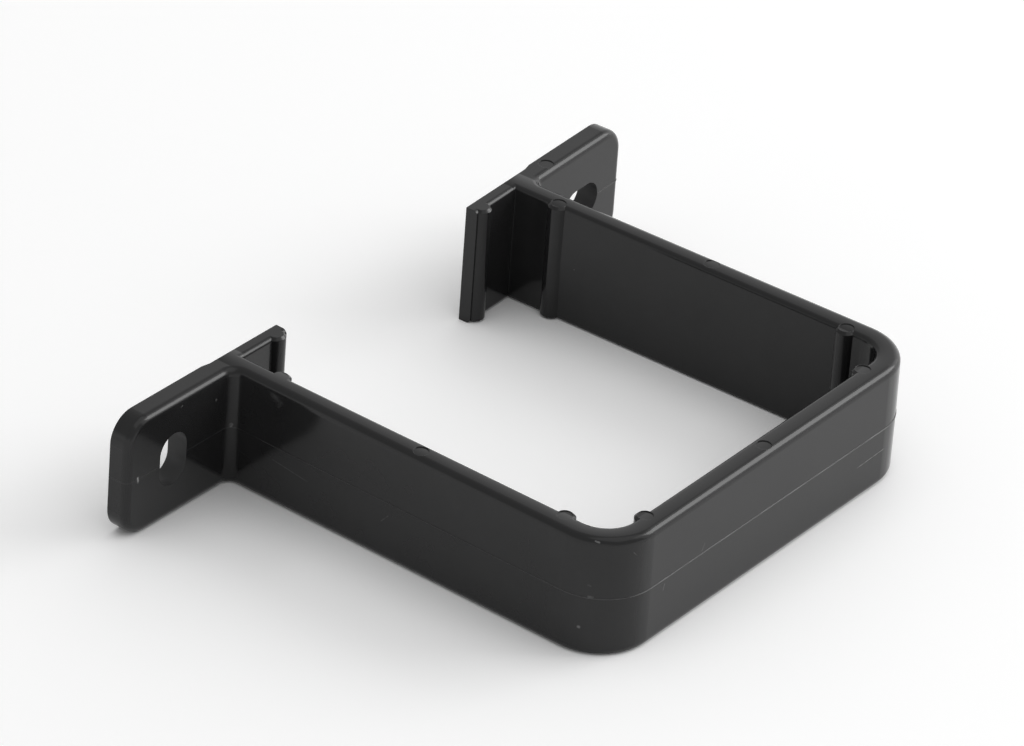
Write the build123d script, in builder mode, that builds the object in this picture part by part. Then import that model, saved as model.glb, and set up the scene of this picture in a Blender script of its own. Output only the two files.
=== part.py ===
"""Downpipe clip: a moulded band that holds a square downpipe against a wall.

One black uPVC moulding. Two legs and a front bar wrap the pipe. Each leg ends at the wall
in a foot: a slotted lug outside the band and a lipped flange behind the pipe.

Frame: millimetres. The origin is on the wall plane, midway between the two fixing slots, at
mid-height. +X runs along the wall, +Y from the wall to the front bar, +Z along the pipe.
"""
import os
from math import cos, radians, sin, sqrt

from build123d import *

# Band
band_width = 74.4
band_depth = 73.3
band_height = 19.3
bar_wall = 3.95
leg_wall_front = 3.95
leg_wall_root = 3.45
corner_outer_radius = 8.8
corner_inner_radius = 4.8
leg_toe_in = 1.5
draft_angle = 0.5

# Outer lug of each foot
lug_reach = 22.4
lug_thickness = 3.45
lug_corner_radius = 4.2
root_fillet_radius = 1.7

# Inner flange of each foot, with its half-round lip
flange_reach = 9.6
flange_thickness = 2.0
flange_setback = 0.3
setback_ramp_from_leg = 1.6
setback_ramp_length = 1.4
lip_radius = 1.5
lip_height = 1.05
lip_from_end = 0.4

# Fixing slots, upright in one lug and level in the other
slot_width = 5.7
slot_length = 8.4
slot_from_leg = 12.5

# Gripping beads inside the band
bead_radius = 1.6
bead_height = 1.0
root_bead_from_wall = 9.75
corner_bead_from_bar = 7.8
bar_bead_from_leg = 7.1

# Rounded rims, and the chamfer at the ends of the beads and lips
rim_radius = 1.15
inner_rim_radius = 0.75
bead_chamfer = 0.4

# Flash at the parting plane, and the marks that the ejector pins leave in the top edge
flash_height = 0.06
flash_width = 0.14
pin_radius = 1.15
pin_depth = 0.12
lug_pin_from_leg = 5.0

half_height = band_height / 2
half_width = band_width / 2
toe = radians(leg_toe_in)
bar_inner_y = band_depth - bar_wall

# Left leg. Its frame stands at its root on the back of the foot: local x runs outwards from the
# leg's outer face and local y along the leg. The lug's back meets the wall plane at the slot.
leg_length = (band_depth - slot_from_leg * sin(toe)) / cos(toe)
left_root = Plane(
    origin=(half_width - leg_length * sin(toe), slot_from_leg * sin(toe), 0),
    x_dir=(cos(toe), -sin(toe), 0),
    z_dir=(0, 0, 1),
)


def leg_wall(along):
    """Wall of a leg at a distance along it: it thickens from the root to the bar."""
    return leg_wall_root + (leg_wall_front - leg_wall_root) * along / (leg_length - bar_wall)


def on_left(x, y):
    """Plan point given in the left leg's frame."""
    point = left_root.from_local_coords(Vector(x, y, 0))
    return Vector(point.X, point.Y)


def left_at_depth(x, depth):
    """Plan point at local x of the left leg, at a distance from the wall plane."""
    return on_left(x, (depth - left_root.origin.Y + x * sin(toe)) / cos(toe))


def other_side(point):
    """The same plan point on the other side of the middle plane."""
    return Vector(-point.X, point.Y)


def both_sides(points):
    """Plan points of the left side, and their twins on the other side."""
    return points + [other_side(point) for point in points]


def u_outline(root, corner, radius):
    """Area inside a leg root and a front corner, and the same two points on the other side."""
    with BuildSketch() as outline:
        with BuildLine():
            Polyline(root, corner, other_side(corner), other_side(root), close=True)
        make_face()
        fillet(outline.vertices().group_by(Axis.Y)[-1], radius)
    return outline.sketch


def near_both_sides(edges, x, y):
    """The edge nearest to a plan point of the left leg's frame, and its twin on the right leg."""
    at_half = Vector(0, 0, half_height / 2)
    return [edges.sort_by_distance(point + at_half)[0] for point in both_sides([on_left(x, y)])]


def in_left_frame(edge):
    """Middle of an edge in the left leg's frame, with the right side folded over."""
    middle = edge @ 0.5
    return left_root.to_local_coords(Vector(abs(middle.X), middle.Y, middle.Z))


def inside_band(edge):
    """Whether an edge lies on the pipe's side of the middle of the wall."""
    middle = edge @ 0.5
    return wall_middle.face().is_inside(Vector(middle.X, middle.Y, 0))


def on_outer_rim(edge):
    """Whether an edge borders the outward and forward faces, at the top or up the end of a lug."""
    middle = in_left_frame(edge)
    in_front_of_lug = middle.Y > lug_thickness / 2
    upright = abs((edge % 0.5).Z) > 0.99
    at_lug_end = middle.X > lug_reach - lug_corner_radius / 2
    above_parting = middle.Z > half_height / 8
    return in_front_of_lug and above_parting and (at_lug_end or not upright) and not inside_band(edge)


def on_inner_rim(edge):
    """Whether an edge borders the faces towards the pipe, at the top."""
    at_top = min(vertex.Z for vertex in edge.vertices()) > half_height - rim_radius / 2
    return at_top and inside_band(edge) and in_left_frame(edge).Y > flange_front - inner_rim_radius / 2


def lug_back(side):
    """Plane on the back of a lug, centred on its slot and facing forward."""
    centre = on_left(slot_from_leg, 0)
    return Plane(
        origin=(side * centre.X, centre.Y, 0),
        x_dir=(side * cos(toe), -sin(toe), 0),
        z_dir=(side * sin(toe), cos(toe), 0),
    )


wall_middle = u_outline(
    on_left(-leg_wall_root / 2, 0),
    left_at_depth(-leg_wall_front / 2, band_depth - bar_wall / 2),
    (corner_outer_radius + corner_inner_radius) / 2,
)

# Foot plan of the left leg, in its frame: lug, ramp and flange
flange_front = flange_setback + flange_thickness
flange_end = -leg_wall_root - flange_reach
inside_leg = -leg_wall_root / 2
foot_outline = [
    (lug_reach, 0),
    (lug_reach, lug_thickness),
    (inside_leg, lug_thickness),
    (inside_leg, flange_front),
    (flange_end, flange_front),
    (flange_end, flange_setback),
    (setback_ramp_from_leg, flange_setback),
    (setback_ramp_from_leg + setback_ramp_length, 0),
]

# Lip of the left flange: a half-round bead sunk in the flange, a little in from its end
lip_sink = lip_radius - lip_height
lip_half_width = sqrt(lip_radius**2 - lip_sink**2)
lip_centre = on_left(flange_end + lip_from_end + lip_half_width, flange_front - lip_sink)

# Beads of the left side, sunk in the wall so that each crown stands proud by the bead height
bead_sink = bead_radius - bead_height
corner_bead_along = leg_length - bar_wall - corner_bead_from_bar
bar_bead_x = left_at_depth(-leg_wall_front, bar_inner_y).X - bar_bead_from_leg
bead_centres = [
    on_left(bead_sink - leg_wall(root_bead_from_wall), root_bead_from_wall),
    on_left(bead_sink - leg_wall(corner_bead_along), corner_bead_along),
    Vector(bar_bead_x, bar_inner_y + bead_sink),
]

# Upper half, widest at the parting plane
with BuildPart() as upper_half:
    with BuildSketch():
        add(u_outline(on_left(0, lug_thickness / 2), left_at_depth(0, band_depth), corner_outer_radius))
        inner_root = on_left(-leg_wall(-lug_thickness), -lug_thickness)
        inner_corner = left_at_depth(-leg_wall_front, bar_inner_y)
        add(u_outline(inner_root, inner_corner, corner_inner_radius), mode=Mode.SUBTRACT)
    extrude(amount=half_height)
    draft(upper_half.faces().filter_by(Axis.Z, reverse=True), Plane.XY, draft_angle)

    with BuildSketch(left_root):
        with BuildLine():
            Polyline(*foot_outline, close=True)
        make_face()
    left_foot = extrude(amount=half_height)
    mirror(left_foot, about=Plane.YZ)

    # Root fillets between each leg and its lug, and the large corners of the lugs
    uprights = upper_half.edges().filter_by(lambda edge: abs((edge % 0.5).Z) > 0.99)
    fillet(near_both_sides(uprights, 0, lug_thickness), root_fillet_radius)
    lug_ends = upper_half.edges().group_by(Axis.Z)[-1]
    fillet(near_both_sides(lug_ends, lug_reach, lug_thickness / 2), lug_corner_radius)

    # Rounded outer rim: one chain up the lug ends and along the top of the lugs, legs and bar
    fillet(upper_half.edges().filter_by(on_outer_rim), rim_radius)

    # Rounded inner rim: along the flanges, the legs and the bar
    fillet(upper_half.edges().filter_by(on_inner_rim), inner_rim_radius)

# Upper half of the beads and lips, each a round post that is half sunk in the wall
with BuildPart() as posts:
    with BuildSketch():
        with Locations(*both_sides(bead_centres)):
            Circle(bead_radius)
        with Locations(*both_sides([lip_centre])):
            Circle(lip_radius)
    extrude(amount=half_height)
    chamfer(posts.edges().group_by(Axis.Z)[-1], bead_chamfer)

# Flash: a fine ridge round the outside, on the parting plane
with BuildPart() as flash:
    with BuildSketch():
        outer_root = on_left(flash_height, lug_thickness / 2)
        outer_corner = left_at_depth(flash_height, band_depth + flash_height)
        add(u_outline(outer_root, outer_corner, corner_outer_radius + flash_height))
        lug_length = lug_reach + flash_height - inside_leg
        lug_depth = lug_thickness / 2 + flash_height
        with BuildSketch(left_root) as lug_flash:
            with Locations((inside_leg, lug_thickness / 2)):
                Rectangle(lug_length, lug_depth, align=Align.MIN)
        mirror(lug_flash.sketch, about=Plane.YZ)
        add(wall_middle, mode=Mode.SUBTRACT)
    extrude(amount=flash_width / 2, both=True)
    uprights = flash.edges().filter_by(Axis.Z)
    flash_front = lug_thickness + flash_height
    fillet(near_both_sides(uprights, flash_height, flash_front), root_fillet_radius - flash_height)
    uprights = flash.edges().filter_by(Axis.Z)
    lug_ends = near_both_sides(uprights, lug_reach + flash_height, flash_front)
    fillet(lug_ends, rim_radius + flash_height)

with BuildPart() as clip:
    add(upper_half.part)
    add(posts.part)
    mirror(clip.part, about=Plane.XY)
    add(flash.part)

    # Fixing slots, cut square to the back of each lug
    for side, turn in ((1, 90), (-1, 0)):
        back = lug_back(side)
        with BuildSketch(back):
            SlotOverall(slot_length, slot_width, rotation=turn)
        extrude(amount=lug_thickness + flash_height, mode=Mode.SUBTRACT)

    # Ejector pin marks: at the corner and bar beads, halfway along each leg and the bar, and on
    # the right foot at its root bead and its lug
    leg_middle = leg_length / 2
    root_bead, *front_beads = bead_centres
    pin_places = both_sides([*front_beads, on_left(-leg_wall(leg_middle) / 2, leg_middle)])
    pin_places += [other_side(root_bead), other_side(on_left(lug_pin_from_leg, lug_thickness / 2))]
    pin_places.append(Vector(0, band_depth - bar_wall / 2))
    with BuildSketch(Plane.XY.offset(half_height)):
        with Locations(*pin_places):
            Circle(pin_radius)
    extrude(amount=-pin_depth, mode=Mode.SUBTRACT)

os.makedirs("parts", exist_ok=True)
clip.part.label = "downpipe_clip"
export_step(clip.part, "parts/downpipe_clip.step")
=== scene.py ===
"""Black moulded downpipe clip on a pale studio floor.

The clip is one moulding. Its shape comes from the frame, and this file gives it the finish of
moulded uPVC and the stage it stands on. Lengths are metres, in the frame's own axes: +X along
the wall, +Y from the wall to the front bar, +Z along the pipe. To the camera, +X is the left.
"""
import math

import bpy
from bpy.props import FloatProperty, FloatVectorProperty, PointerProperty
from mathutils import Matrix, Vector


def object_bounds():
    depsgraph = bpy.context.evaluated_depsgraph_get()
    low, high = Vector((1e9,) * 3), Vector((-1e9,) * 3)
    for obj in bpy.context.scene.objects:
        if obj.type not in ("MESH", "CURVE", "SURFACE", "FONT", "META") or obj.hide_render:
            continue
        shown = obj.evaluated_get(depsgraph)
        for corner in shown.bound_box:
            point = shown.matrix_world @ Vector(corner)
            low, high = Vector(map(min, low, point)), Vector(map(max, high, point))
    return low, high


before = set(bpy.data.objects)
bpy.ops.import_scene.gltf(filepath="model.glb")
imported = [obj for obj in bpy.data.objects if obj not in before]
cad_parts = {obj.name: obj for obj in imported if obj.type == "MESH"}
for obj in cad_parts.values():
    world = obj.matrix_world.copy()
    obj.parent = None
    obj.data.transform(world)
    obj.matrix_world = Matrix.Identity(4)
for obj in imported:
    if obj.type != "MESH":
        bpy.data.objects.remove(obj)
CAD_LOW, CAD_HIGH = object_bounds()

bl_info = {
    "name": "Downpipe Clip",
    "version": (1, 0, 0),
    "blender": (4, 5, 0),
    "location": "3D View > Sidebar > Downpipe Clip",
    "description": "Finish and stage of a moulded downpipe clip",
    "category": "Object",
}

CLIP_NODE = "downpipe_clip"
MM = 0.001

# Plan of the band, in millimetres: the legs lean in by a small slope on their way back to the wall
HALF_WIDTH = 37.2
DEPTH = 73.3
WALL = 3.8
CORNER = 8.8
LEAN = math.tan(math.radians(1.5))

# Distance of each fixing slot from the middle of the clip, and a little over half a slot's length
SLOT_CENTRE = 47.8
SLOT_REACH = 4.6

# How pale the parting line is along the legs, and how far from the wall it changes: it is a little paler
# near the front corners, and fully pale once it has gone round them. The paleness is partly the rough
# flash and partly a painted highlight of the lamp on its ridge, strongest on the front bar.
LEG_LINE_TONES = (0.08, 0.25)
LEG_LINE_RISE = (50, 68)
BAR_LINE_RISE = (72, DEPTH)

# Share of the parting line's width that is fully pale, and where it is full on the way from the
# middle of the wall to its outer face
FULL_LINE = 0.6
OUTER_WALL = 0.5

# Uneven patterns: gaps in the parting line, chips in the scratches, clouds in the colour, and hazy
# patches in the gloss. Each has the size of its features in millimetres, the detail and roughness
# of its noise, the part of the noise that counts, and the values that this part is carried to.
LINE_GAPS = (3, 3, 0.5, 0.35, 0.6, 0.5, 1)
CHIPS = (0.4, 2, 0.5, 0.35, 0.55, 0.3, 1)
CLOUDS = (9, 3, 0.5, 0.3, 0.7, 0, 1)
HAZE = (14, 4, 0.6, 0.45, 0.7, 0.9, 1.35)

# How much lighter the colour is in its clouds, how much rougher the worn places are, and the share
# of the cells of dust that stay empty
CLOUD_LIFT = 1.25
WORN_ROUGHNESS = 0.35
CLEAN_CELLS = 0.72

# Scratches and nicks, in millimetres: start, end, half width, and how pale they are
MARKS = (
    ((-21.9, 73.3, -3.8), (-28.4, 73.3, -3.6), 0.10, 0.5),
    ((24.8, 73.3, -0.9), (25.1, 73.3, -1.8), 0.12, 0.25),
    ((15.6, 73.3, 1.5), (16.2, 73.3, 0.4), 0.08, 0.25),
    ((36.4, 67.3, -5.1), (36.5, 67.4, -5.1), 0.32, 0.4),
    ((35.6, 68.5, 9.3), (35.4, 69.0, 9.2), 0.18, 0.5),
    ((31.8, 72.5, 7.3), (31.2, 72.8, 6.6), 0.12, 0.25),
    ((35.8, 68.8, 0.2), (36.1, 68.4, 0.2), 0.28, 0.2),
    ((36.0, 68.5, 2.0), (36.1, 68.2, 2.1), 0.20, 0.07),
    ((35.6, 11.8, -2.3), (35.7, 18.3, -3.1), 0.10, 0.1),
    ((35.5, 11.0, 8.2), (35.5, 12.7, 7.6), 0.50, 0.07),
    ((35.5, 12.7, 7.6), (35.5, 12.2, 6.9), 0.45, 0.06),
    ((36.1, 33.1, -2.1), (36.1, 31.9, -3.5), 0.12, 0.1),
    ((55.4, 3.3, -0.5), (55.5, 3.3, 0.3), 0.26, 0.9),
    ((38.9, 3.7, 5.7), (38.9, 3.7, 5.8), 0.25, 0.4),
    ((46.6, 3.5, 8.1), (46.4, 3.5, 8.2), 0.20, 0.25),
    ((35.9, 4.2, 0.3), (35.9, 4.3, 0.5), 0.36, 0.3),
)

# Soft lamps: name, direction from the clip, distance, size, and level on the lamp's face
LAMPS = (
    ("right_lamp", (-0.69, 0.53, 0.49), 1.5, (0.9, 0.7), 3.7),
    ("right_spill", (-0.69, 0.53, 0.47), 1.6, (2.0, 1.5), 0.6),
    ("high_lamp", (-0.05, 0.35, 1.0), 2.0, (2.0, 2.0), 0.5),
)

# Where the sky is brighter: its direction along X and along Z, each from full to none
RIGHT_SKY = ((-1, -0.45), (0.45, 0.85))
LEFT_SKY = ((0.8, 0.2), (0.15, 0.6))

# Share of the floor's glow that reflections see, and how open to the air the floor is where the glow
# starts and where it is full. Taking the glow away where the floor is closed in paints a contact shadow
# round the clip.
REFLECTED_GLOW = 0.6
OPEN_AIR = (0.4, 0.65)


class UpvcSettings(bpy.types.PropertyGroup):
    """Colour and surface of the moulded uPVC."""

    colour: FloatVectorProperty(
        name="Colour",
        description="Body colour of the black uPVC",
        subtype="COLOR",
        default=(0.0135, 0.0135, 0.0138),
        min=0,
        max=1,
    )
    roughness: FloatProperty(
        name="Roughness",
        description="Mean roughness of the polished mould face",
        default=0.13,
        min=0,
        max=1,
        subtype="FACTOR",
    )
    line_width: FloatProperty(
        name="Parting Line Width",
        description="Half the width of the pale parting line",
        default=0.13 * MM,
        unit="LENGTH",
        precision=5,
    )
    # Painted highlight: this pale colour on the parting line stands partly for the lamp's highlight on the
    # flash ridge
    flash_and_highlight_colour: FloatVectorProperty(
        name="Parting Line and Highlight Colour",
        description="Colour of the rough flash along the parting line, lightened as a painted highlight",
        subtype="COLOR",
        default=(0.16, 0.16, 0.162),
        min=0,
        max=1,
    )
    # Painted light: the slot walls are lightened to stand for light bounced inside the slots
    slot_bounce_light_colour: FloatVectorProperty(
        name="Slot Bounce Light Colour",
        description="Colour of the walls of the fixing slots, lightened with painted bounce light",
        subtype="COLOR",
        default=(0.04, 0.04, 0.0405),
        min=0,
        max=1,
    )
    wear_colour: FloatVectorProperty(
        name="Wear Colour",
        description="Colour of the palest scratches and nicks",
        subtype="COLOR",
        default=(0.3, 0.3, 0.3),
        min=0,
        max=1,
    )
    dust_colour: FloatVectorProperty(
        name="Dust Colour",
        description="Colour of the specks of dust",
        subtype="COLOR",
        default=(0.1, 0.1, 0.098),
        min=0,
        max=1,
    )
    dust_spacing: FloatProperty(
        name="Dust Spacing",
        description="Size of the cells that hold at most one speck each",
        default=3.2 * MM,
        unit="LENGTH",
    )
    dust_size: FloatProperty(
        name="Dust Size",
        description="Radius of the largest speck",
        default=0.1 * MM,
        unit="LENGTH",
        precision=5,
    )
    edge_radius: FloatProperty(
        name="Edge Radius",
        description="Radius that sharp edges have in the light",
        default=0.12 * MM,
        unit="LENGTH",
        precision=5,
    )
    crown_height: FloatProperty(
        name="Crown Height",
        description="Rise of the top edge from its faces to the middle of the wall",
        default=0.15 * MM,
        unit="LENGTH",
        precision=5,
    )
    ripple_size: FloatProperty(
        name="Ripple Size",
        description="Length of the faint ripples that cooling leaves in the faces",
        default=2.6 * MM,
        unit="LENGTH",
    )
    ripple_depth: FloatProperty(
        name="Ripple Depth",
        description="Height of the cooling ripples",
        default=0.003 * MM,
        unit="LENGTH",
        precision=6,
    )
    grain_size: FloatProperty(
        name="Grain Size",
        description="Size of the fine grain in the surface",
        default=0.35 * MM,
        unit="LENGTH",
        precision=5,
    )
    grain_depth: FloatProperty(
        name="Grain Depth",
        description="Height of the fine grain",
        default=0.0006 * MM,
        unit="LENGTH",
        precision=6,
    )


class StageSettings(bpy.types.PropertyGroup):
    """Floor, lamps and camera."""

    floor_colour: FloatVectorProperty(
        name="Floor Colour",
        description="Colour of the pale floor",
        subtype="COLOR",
        default=(0.9, 0.9, 0.9),
        min=0,
        max=1,
    )
    floor_roughness: FloatProperty(
        name="Floor Roughness",
        description="Roughness of the floor",
        default=0.6,
        min=0,
        max=1,
        subtype="FACTOR",
    )
    floor_specular: FloatProperty(
        name="Floor Specular",
        description="Strength of the floor's own reflections",
        default=0.3,
        min=0,
        max=1,
        subtype="FACTOR",
    )
    floor_glow: FloatProperty(
        name="Floor Glow",
        description="Light that the camera and reflections see on top of the lit floor",
        default=0.2,
        min=0,
        max=1,
    )
    # Painted shadow: the floor's glow fades within this reach of the clip
    contact_reach: FloatProperty(
        name="Contact Reach",
        description="How far from the clip the floor loses its glow",
        default=25 * MM,
        unit="LENGTH",
    )
    floor_size: FloatProperty(
        name="Floor Size",
        description="Side of the square floor",
        default=6.0,
        unit="LENGTH",
    )
    camera_azimuth: FloatProperty(
        name="Camera Azimuth",
        description="Direction that the camera looks in, from +Y towards +X",
        default=math.radians(234.701),
        subtype="ANGLE",
    )
    camera_elevation: FloatProperty(
        name="Camera Elevation",
        description="Angle of the line of sight below the horizon",
        default=math.radians(32.064),
        subtype="ANGLE",
    )
    camera_roll: FloatProperty(
        name="Camera Roll",
        description="Turn of the picture about the line of sight",
        default=math.radians(4.178),
        subtype="ANGLE",
    )
    camera_distance: FloatProperty(
        name="Camera Distance",
        description="Distance from the camera to the point it aims at",
        default=1.33,
        unit="LENGTH",
    )
    camera_aim: FloatVectorProperty(
        name="Camera Aim",
        description="Point on the line of sight, beyond the clip and under the floor",
        default=(-58.097 * MM, -14.054 * MM, -42.117 * MM),
        subtype="TRANSLATION",
        unit="LENGTH",
        precision=5,
    )
    camera_lens: FloatProperty(
        name="Camera Lens",
        description="Focal length in millimetres",
        default=304.48,
    )
    camera_sensor: FloatProperty(
        name="Camera Sensor",
        description="Width of the sensor in millimetres",
        default=36.0,
    )
    sky_level: FloatProperty(
        name="Sky Level",
        description="Strength of the even light from all round",
        default=0.47,
        min=0,
    )
    right_sky_level: FloatProperty(
        name="Right Sky Level",
        description="Strength that the even light rises to, low on the right",
        default=1.25,
        min=0,
    )
    left_sky_level: FloatProperty(
        name="Left Sky Level",
        description="Strength that the even light rises to, near the horizon on the left",
        default=0.9,
        min=0,
    )


class Nodes:
    """Short way to add and join shader nodes."""

    def __init__(self, tree):
        self.tree = tree
        self.tree.nodes.clear()

    def add(self, kind, inputs=None, **settings):
        """A new node, with its settings, and its inputs set to values or joined to sockets."""
        node = self.tree.nodes.new(kind)
        for name, value in settings.items():
            setattr(node, name, value)
        for name, value in (inputs or {}).items():
            if isinstance(value, bpy.types.NodeSocket):
                self.tree.links.new(value, node.inputs[name])
            else:
                node.inputs[name].default_value = value
        return node

    def axes(self, vector):
        """X, Y and Z of a vector."""
        return self.add("ShaderNodeSeparateXYZ", {"Vector": vector}).outputs

    def noise(self, place, size, detail=2.0, rough=0.5):
        """Noise of a given feature size in metres."""
        settings = {"Vector": place, "Scale": 1 / size, "Detail": detail, "Roughness": rough}
        return self.add("ShaderNodeTexNoise", settings).outputs["Fac"]

    def pattern(self, place, pattern):
        """Uneven value, from a row that describes its pattern."""
        size, detail, rough, *ranges = pattern
        return self.spread(self.noise(place, size * MM, detail, rough), *ranges)

    def spread(self, value, low, high, to_low=0.0, to_high=1.0):
        """A value carried from one range to another, and kept inside it."""
        settings = {"Value": value, "From Min": low, "From Max": high, "To Min": to_low, "To Max": to_high}
        return self.add("ShaderNodeMapRange", settings).outputs["Result"]

    def math(self, operation, first, second=None):
        """Result of a calculation on one or two values."""
        inputs = {0: first} if second is None else {0: first, 1: second}
        return self.add("ShaderNodeMath", inputs, operation=operation).outputs[0]

    def magnitude(self, value):
        """A value without its sign."""
        return self.math("ABSOLUTE", value)

    def sum(self, first, second):
        """Sum of two values."""
        return self.math("ADD", first, second)

    def product(self, first, second):
        """Product of two values."""
        return self.math("MULTIPLY", first, second)

    def larger(self, first, second):
        """Larger of two values."""
        return self.math("MAXIMUM", first, second)

    def vector(self, operation, output, inputs):
        """Result of a calculation on vectors."""
        return self.add("ShaderNodeVectorMath", inputs, operation=operation).outputs[output]

    def blend(self, share, first, second):
        """Colour that goes from the first to the second as share goes from 0 to 1.

        The sockets of a mix node share their names, so its colours are picked by place.
        """
        settings = {"Factor": share, 6: self.opaque(first), 7: self.opaque(second)}
        return self.add("ShaderNodeMix", settings, data_type="RGBA").outputs[2]

    def opaque(self, colour):
        """A colour socket as it is, or three channels with full alpha."""
        return colour if isinstance(colour, bpy.types.NodeSocket) else (*colour, 1.0)

    def bump(self, height, depth, normal):
        """Bump of a height from 0 to 1, as deep as depth in metres, on top of a normal."""
        settings = {"Height": height, "Distance": depth, "Strength": 1.0, "Normal": normal}
        return self.add("ShaderNodeBump", settings).outputs["Normal"]


def across_band(nodes, axes):
    """Place across the band's wall: -1 from its inner face inwards, 1 from its outer face outwards."""
    aside = nodes.sum(nodes.magnitude(axes["X"]), nodes.product(axes["Y"], -LEAN))
    aside = nodes.sum(aside, (LEAN * DEPTH - HALF_WIDTH + CORNER) * MM)
    ahead = nodes.sum(axes["Y"], (CORNER - DEPTH) * MM)
    beyond = {"X": nodes.larger(aside, 0.0), "Y": nodes.larger(ahead, 0.0)}
    beyond = nodes.add("ShaderNodeCombineXYZ", beyond).outputs[0]
    round_part = nodes.vector("LENGTH", "Value", {0: beyond})
    flat_part = nodes.math("MINIMUM", nodes.larger(aside, ahead), 0.0)
    outside = nodes.sum(nodes.sum(round_part, flat_part), (WALL / 2 - CORNER) * MM)
    return nodes.spread(outside, -WALL / 2 * MM, WALL / 2 * MM, -1, 1)


def parting_line(nodes, place, axes, across, look):
    """1 on the flash round the outside, broken up along its length and palest on the front bar. Its
    paleness is partly a painted highlight.
    """
    line = nodes.spread(nodes.magnitude(axes["Z"]), look.line_width, look.line_width * FULL_LINE, 0, 1)
    start, end = LEG_LINE_RISE
    towards_bar = nodes.spread(axes["Y"], start * MM, end * MM, *LEG_LINE_TONES)
    start, end = BAR_LINE_RISE
    on_bar = nodes.spread(axes["Y"], start * MM, end * MM)
    line = nodes.product(line, nodes.pattern(place, LINE_GAPS))
    line = nodes.product(line, nodes.larger(towards_bar, on_bar))
    return nodes.product(line, nodes.spread(across, 0, OUTER_WALL))


def mark_mask(nodes, place, start, end, half_width):
    """1 on a straight scratch from start to end, fading to 0 at its sides."""
    start, end = Vector(start) * MM, Vector(end) * MM
    length = (end - start).length
    line = (end - start) / length
    offset = nodes.vector("SUBTRACT", 0, {0: place, 1: start})
    along = nodes.vector("DOT_PRODUCT", "Value", {0: offset, 1: line})
    along = nodes.spread(along, 0, length, 0, length)
    nearest = nodes.vector("SCALE", 0, {0: line, "Scale": along})
    gap = nodes.vector("DISTANCE", "Value", {0: offset, 1: nearest})
    return nodes.spread(gap, half_width * MM, half_width * MM / 3, 0, 1)


def scratches(nodes, place):
    """Paleness of the scratches and nicks, worn unevenly, and 0 between them."""
    wear = 0.0
    for start, end, half_width, paleness in MARKS:
        mask = mark_mask(nodes, place, start, end, half_width)
        wear = nodes.larger(wear, nodes.product(mask, paleness))
    return nodes.product(wear, nodes.pattern(place, CHIPS))


def dust(nodes, place, look):
    """1 on sparse specks of dust of mixed size, 0 between them."""
    largest = look.dust_size / look.dust_spacing
    cells = nodes.add("ShaderNodeTexVoronoi", {"Vector": place, "Scale": 1 / look.dust_spacing}).outputs
    pick = nodes.add("ShaderNodeSeparateColor", {"Color": cells["Color"]}).outputs
    size = nodes.spread(pick["Red"], CLEAN_CELLS, 1.0, 0, largest)
    speck = nodes.math("SUBTRACT", size, cells["Distance"])
    return nodes.spread(speck, 0, largest / 3, 0, 1)


def slot_wall(nodes, axes):
    """1 on the walls of the fixing slots, which the core pins leave less polished, and which the colour
    lightens with painted bounce light.

    Of the faces near a slot, its walls are the ones that look across Y and not along it.
    """
    facing = nodes.axes(nodes.add("ShaderNodeNewGeometry").outputs["Normal"])
    wall = nodes.math("LESS_THAN", nodes.magnitude(facing["Y"]), 0.5)
    aside = nodes.magnitude(nodes.sum(nodes.magnitude(axes["X"]), -SLOT_CENTRE * MM))
    for distance in (aside, nodes.magnitude(axes["Z"])):
        wall = nodes.product(wall, nodes.math("LESS_THAN", distance, SLOT_REACH * MM))
    return wall


def upvc_material(look):
    """Black uPVC from a polished mould: satin gloss, crowned edges, a pale parting line that is partly a
    painted highlight, light wear, and slot walls lightened with painted bounce light.
    """
    material = bpy.data.materials.new("black_upvc")
    material.use_nodes = True
    nodes = Nodes(material.node_tree)
    place = nodes.add("ShaderNodeTexCoord").outputs["Object"]
    axes = nodes.axes(place)
    across = across_band(nodes, axes)
    line = parting_line(nodes, place, axes, across, look)
    wear = scratches(nodes, place)
    specks = dust(nodes, place, look)
    slot_sides = slot_wall(nodes, axes)

    # Colour: black, clouded a little, then the pale line with its painted highlight, the wear, the dust,
    # and the painted bounce light on the slot walls
    lighter = [channel * CLOUD_LIFT for channel in look.colour]
    colour = nodes.blend(nodes.pattern(place, CLOUDS), look.colour, lighter)
    colour = nodes.blend(line, colour, look.flash_and_highlight_colour)
    colour = nodes.blend(wear, colour, look.wear_colour)
    colour = nodes.blend(specks, colour, look.dust_colour)
    colour = nodes.blend(slot_sides, colour, look.slot_bounce_light_colour)

    # Gloss: hazy patches where it was handled, and matt wherever it is worn
    hazy = nodes.product(nodes.pattern(place, HAZE), look.roughness)
    matt = nodes.larger(nodes.larger(line, wear), nodes.larger(specks, slot_sides))
    rough = nodes.sum(hazy, nodes.product(matt, WORN_ROUGHNESS))

    # Relief: softened edges, crowned top and bottom, cooling ripples and fine grain
    normal = nodes.add("ShaderNodeBevel", {"Radius": look.edge_radius}, samples=4).outputs["Normal"]
    crown = nodes.sum(nodes.product(nodes.product(across, across), -1.0), 1.0)
    normal = nodes.bump(crown, look.crown_height, normal)
    normal = nodes.bump(nodes.noise(place, look.ripple_size), look.ripple_depth, normal)
    normal = nodes.bump(nodes.noise(place, look.grain_size, 3.0, 0.6), look.grain_depth, normal)

    finish = {"Base Color": colour, "Roughness": rough, "IOR": 1.41, "Normal": normal}
    shader = nodes.add("ShaderNodeBsdfPrincipled", finish)
    nodes.add("ShaderNodeOutputMaterial", {"Surface": shader.outputs["BSDF"]})
    return material


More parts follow.
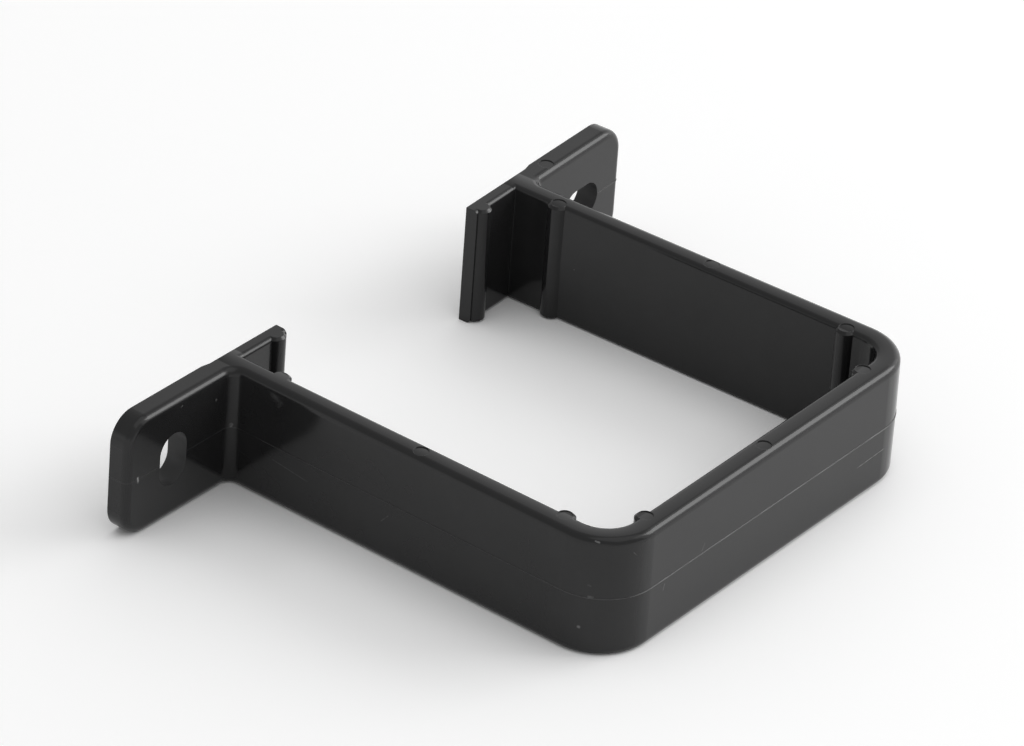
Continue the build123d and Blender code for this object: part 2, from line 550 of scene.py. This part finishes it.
def floor_material(stage):
    """Matt pale floor, a little brighter to the camera and in reflections than its light makes it."""
    material = bpy.data.materials.new("pale_floor")
    material.use_nodes = True
    nodes = Nodes(material.node_tree)

    # Glow: full to the camera, less in reflections, and none close to the clip, where its loss paints a
    # contact shadow
    rays = nodes.add("ShaderNodeLightPath").outputs
    reflected = nodes.sum(rays["Is Glossy Ray"], rays["Is Transmission Ray"])
    glow = nodes.sum(rays["Is Camera Ray"], nodes.product(reflected, REFLECTED_GLOW))
    reach = {"Distance": stage.contact_reach}
    open_air = nodes.add("ShaderNodeAmbientOcclusion", reach, samples=4).outputs["AO"]
    glow = nodes.product(glow, nodes.spread(open_air, *OPEN_AIR, 0, 1))

    shader = nodes.add(
        "ShaderNodeBsdfPrincipled",
        {
            "Base Color": (*stage.floor_colour, 1.0),
            "Roughness": stage.floor_roughness,
            "Specular IOR Level": stage.floor_specular,
            "Emission Color": (1, 1, 1, 1),
            "Emission Strength": nodes.spread(glow, 0, 1, 0, stage.floor_glow),
        },
    )
    nodes.add("ShaderNodeOutputMaterial", {"Surface": shader.outputs["BSDF"]})
    return material


def bright_patch(nodes, axes, patch):
    """1 where the sky's direction lies well inside a patch, fading to 0 outside it."""
    (full_x, no_x), (full_z, no_z) = patch
    aside = nodes.spread(axes["X"], full_x, no_x, 1, 0)
    low = nodes.spread(axes["Z"], full_z, no_z, 1, 0)
    return nodes.product(aside, low)


def look_rotation(line, roll):
    """Rotation of a camera or lamp that looks along a line, turned by roll about it."""
    right = line.cross(Vector((0, 0, 1))).normalized()
    up = right.cross(line)
    turned_right = right * math.cos(roll) + up * math.sin(roll)
    turned_up = up * math.cos(roll) - right * math.sin(roll)
    return Matrix((turned_right, turned_up, -line)).transposed().to_4x4()


def add_lamp(scene, name, direction, distance, size, level):
    """Soft rectangular lamp that shines at the clip, as bright on its face as level."""
    towards = Vector(direction).normalized()
    lamp = bpy.data.lights.new(name, "AREA")
    lamp.shape = "RECTANGLE"
    lamp.size, lamp.size_y = size
    lamp.energy = level * math.pi * size[0] * size[1]
    holder = bpy.data.objects.new(name, lamp)
    holder.matrix_world = Matrix.Translation(towards * distance) @ look_rotation(-towards, 0)
    holder.visible_camera = False
    scene.collection.objects.link(holder)


class CLIP_OT_finish_moulding(bpy.types.Operator):
    """Give the moulding its black uPVC finish"""

    bl_idname = "clip.finish_moulding"
    bl_label = "Finish Moulding"

    def execute(self, context):
        """Put the uPVC in every slot of the clip."""
        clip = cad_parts[CLIP_NODE]
        material = upvc_material(context.scene.clip_upvc)
        for slot in clip.material_slots:
            slot.material = material
        return {"FINISHED"}


class CLIP_OT_set_stage(bpy.types.Operator):
    """Set the floor, the lamps and the camera round the clip"""

    bl_idname = "clip.set_stage"
    bl_label = "Set Stage"

    def execute(self, context):
        """Build the floor under the clip, then light it and aim the camera."""
        scene, stage = context.scene, context.scene.clip_stage
        self.add_floor(scene, stage)
        for lamp in LAMPS:
            add_lamp(scene, *lamp)
        self.add_sky(scene, stage)
        self.add_camera(scene, stage)
        scene.view_settings.view_transform = "Standard"
        return {"FINISHED"}

    def add_floor(self, scene, stage):
        """Square floor, level with the clip's lower edge."""
        half, level = stage.floor_size / 2, CAD_LOW.z
        corners = ((-half, -half, level), (half, -half, level), (half, half, level), (-half, half, level))
        mesh = bpy.data.meshes.new("floor")
        mesh.from_pydata(corners, [], [(0, 1, 2, 3)])
        mesh.materials.append(floor_material(stage))
        floor = bpy.data.objects.new("floor", mesh)
        scene.collection.objects.link(floor)

    def add_sky(self, scene, stage):
        """Even sky, brighter low on the right and near the horizon on the left, white to the camera."""
        world = bpy.data.worlds.new("studio")
        world.use_nodes = True
        nodes = Nodes(world.node_tree)
        rays = nodes.add("ShaderNodeLightPath")
        axes = nodes.axes(nodes.add("ShaderNodeTexCoord").outputs["Generated"])
        right = bright_patch(nodes, axes, RIGHT_SKY)
        left = bright_patch(nodes, axes, LEFT_SKY)
        level = nodes.spread(right, 0, 1, stage.sky_level, stage.right_sky_level)
        level = nodes.larger(level, nodes.product(left, stage.left_sky_level))
        light = nodes.add("ShaderNodeBackground", {"Color": (1, 1, 1, 1), "Strength": level})
        white = nodes.add("ShaderNodeBackground", {"Color": (1, 1, 1, 1), "Strength": 1.0})
        both = nodes.add("ShaderNodeMixShader", {"Fac": rays.outputs["Is Camera Ray"]})
        nodes.tree.links.new(light.outputs[0], both.inputs[1])
        nodes.tree.links.new(white.outputs[0], both.inputs[2])
        nodes.add("ShaderNodeOutputWorld", {"Surface": both.outputs[0]})
        scene.world = world

    def add_camera(self, scene, stage):
        """Long lens from above the clip's open side."""
        level = math.cos(stage.camera_elevation)
        line = Vector((
            math.sin(stage.camera_azimuth) * level,
            math.cos(stage.camera_azimuth) * level,
            -math.sin(stage.camera_elevation),
        ))
        place = Vector(stage.camera_aim) - line * stage.camera_distance
        lens = bpy.data.cameras.new("camera")
        lens.sensor_width = stage.camera_sensor
        lens.lens = stage.camera_lens
        lens.clip_start = 0.05
        lens.clip_end = 50.0
        camera = bpy.data.objects.new("camera", lens)
        camera.matrix_world = Matrix.Translation(place) @ look_rotation(line, stage.camera_roll)
        scene.collection.objects.link(camera)
        scene.camera = camera


class CLIP_PT_sidebar(bpy.types.Panel):
    """Sidebar panel with the clip's settings and steps"""

    bl_idname = "CLIP_PT_sidebar"
    bl_label = "Downpipe Clip"
    bl_space_type = "VIEW_3D"
    bl_region_type = "UI"
    bl_category = "Downpipe Clip"

    def draw(self, context):
        """List every setting and every step."""
        for settings in (context.scene.clip_upvc, context.scene.clip_stage):
            box = self.layout.box()
            for name in settings.__annotations__:
                box.prop(settings, name)
        for step in STEPS:
            self.layout.operator(step.bl_idname)


STEPS = (CLIP_OT_finish_moulding, CLIP_OT_set_stage)
CLASSES = (UpvcSettings, StageSettings, *STEPS, CLIP_PT_sidebar)


def register():
    """Add the clip's settings, steps and panel."""
    for each in CLASSES:
        bpy.utils.register_class(each)
    bpy.types.Scene.clip_upvc = PointerProperty(type=UpvcSettings)
    bpy.types.Scene.clip_stage = PointerProperty(type=StageSettings)


def unregister():
    """Take them away again."""
    del bpy.types.Scene.clip_stage
    del bpy.types.Scene.clip_upvc
    for each in reversed(CLASSES):
        bpy.utils.unregister_class(each)


def main():
    """Run every step."""
    register()
    bpy.ops.clip.finish_moulding()
    bpy.ops.clip.set_stage()


if __name__ == "__main__":
    main()
